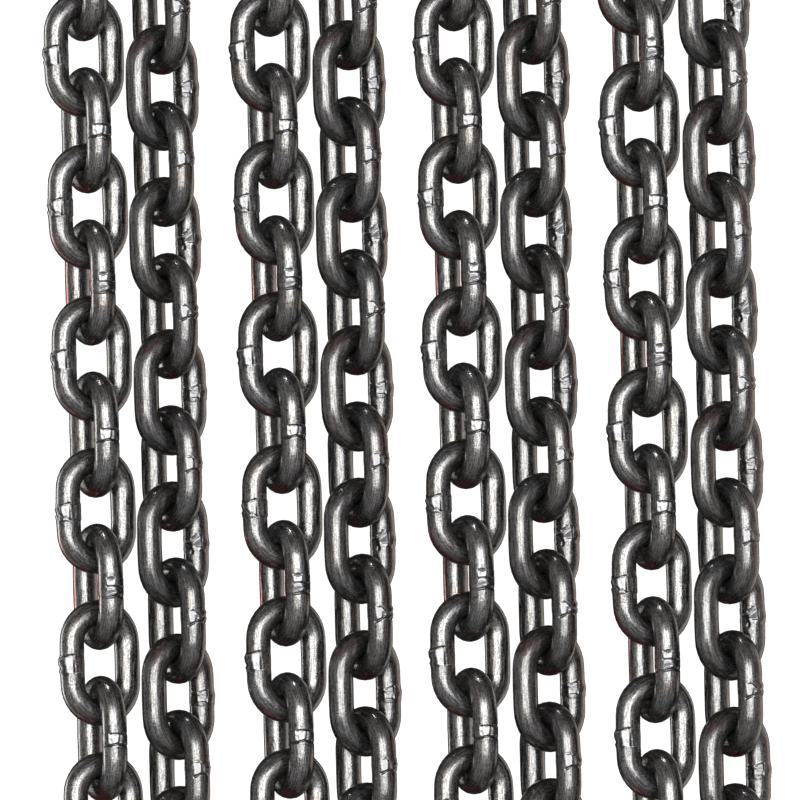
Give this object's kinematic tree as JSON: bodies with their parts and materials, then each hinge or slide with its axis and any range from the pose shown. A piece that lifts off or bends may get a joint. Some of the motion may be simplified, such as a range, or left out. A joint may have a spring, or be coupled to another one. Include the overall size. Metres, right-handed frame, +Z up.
{
  "type": "cut lengths of lifting chain",
  "caption": "Cut lengths of dark short-link lifting chain laid straight, side by side in close pairs; neighbouring links interlock at right angles, each welded at the middle of a leg.",
  "frame": {"origin": "on the floor, under the middle of the whole lay of chain", "axes": "+X across the lengths from the first to the last, +Y along the lengths, +Z up from the floor"},
  "size_m": [0.3692, 0.5954, 0.0362],
  "materials": {
    "chain_steel": "satin, heat-darkened to a near-black gunmetal with bright weld scars"
  },
  "bodies": {
    "root": {"length_1_top_link": "chain_steel", "length_1_links_2_3": "chain_steel", "length_1_links_4_5": "chain_steel", "length_1_links_6_8": "chain_steel", "length_1_links_9_10": "chain_steel", "length_1_links_11_12": "chain_steel", "length_1_bottom_link": "chain_steel", "length_2_top_link": "chain_steel", "length_2_links_2_3": "chain_steel", "length_2_links_4_5": "chain_steel", "length_2_links_6_8": "chain_steel", "length_2_links_9_10": "chain_steel", "length_2_links_11_12": "chain_steel", "length_2_bottom_link": "chain_steel", "length_3_top_link": "chain_steel", "length_3_links_2_3": "chain_steel", "length_3_links_4_5": "chain_steel", "length_3_links_6_8": "chain_steel", "length_3_links_9_10": "chain_steel", "length_3_links_11_12": "chain_steel", "length_3_bottom_link": "chain_steel", "length_4_top_link": "chain_steel", "length_4_links_2_3": "chain_steel", "length_4_links_4_5": "chain_steel", "length_4_links_6_8": "chain_steel", "length_4_links_9_10": "chain_steel", "length_4_links_11_12": "chain_steel", "length_4_bottom_link": "chain_steel", "length_5_top_link": "chain_steel", "length_5_links_2_3": "chain_steel", "length_5_links_4_5": "chain_steel", "length_5_links_6_8": "chain_steel", "length_5_links_9_10": "chain_steel", "length_5_links_11_12": "chain_steel", "length_5_bottom_link": "chain_steel", "length_6_top_link": "chain_steel", "length_6_links_2_3": "chain_steel", "length_6_links_4_5": "chain_steel", "length_6_links_6_8": "chain_steel", "length_6_links_9_10": "chain_steel", "length_6_links_11_12": "chain_steel", "length_6_bottom_link": "chain_steel", "length_7_top_link": "chain_steel", "length_7_links_2_3": "chain_steel", "length_7_links_4_5": "chain_steel", "length_7_links_6_8": "chain_steel", "length_7_links_9_10": "chain_steel", "length_7_links_11_12": "chain_steel", "length_7_bottom_link": "chain_steel", "length_8_top_link": "chain_steel", "length_8_links_2_3": "chain_steel", "length_8_links_4_5": "chain_steel", "length_8_links_6_8": "chain_steel", "length_8_links_9_10": "chain_steel", "length_8_links_11_12": "chain_steel", "length_8_bottom_link": "chain_steel"}
  },
  "joints": []
}
